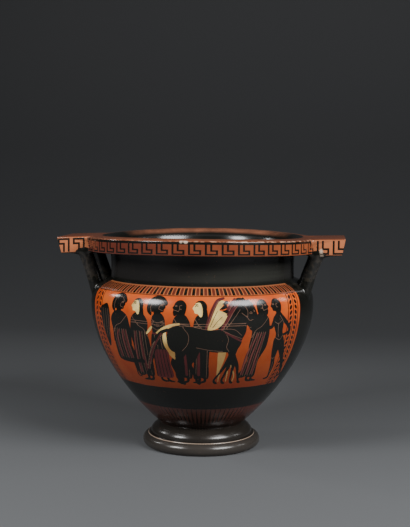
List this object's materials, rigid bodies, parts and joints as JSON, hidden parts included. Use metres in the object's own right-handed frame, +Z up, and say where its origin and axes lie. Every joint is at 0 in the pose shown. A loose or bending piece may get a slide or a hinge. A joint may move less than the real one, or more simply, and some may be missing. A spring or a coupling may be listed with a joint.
{
  "type": "column krater",
  "caption": "Wide hollow mixing bowl of painted fired clay on a stepped foot, with a short neck, heavy flat rim and side handles of a plate on slanting columns.",
  "frame": {"origin": "centre of the foot's resting plane", "axes": "+Z up, +X through the handle at the right of the painted front, -Y towards the painted front"},
  "size_m": [0.4523, 0.362, 0.341],
  "materials": {
    "painted_clay": "black gloss with reserved orange clay, cream and dark red paint"
  },
  "bodies": {
    "root": {"krater": "painted_clay"}
  },
  "joints": []
}
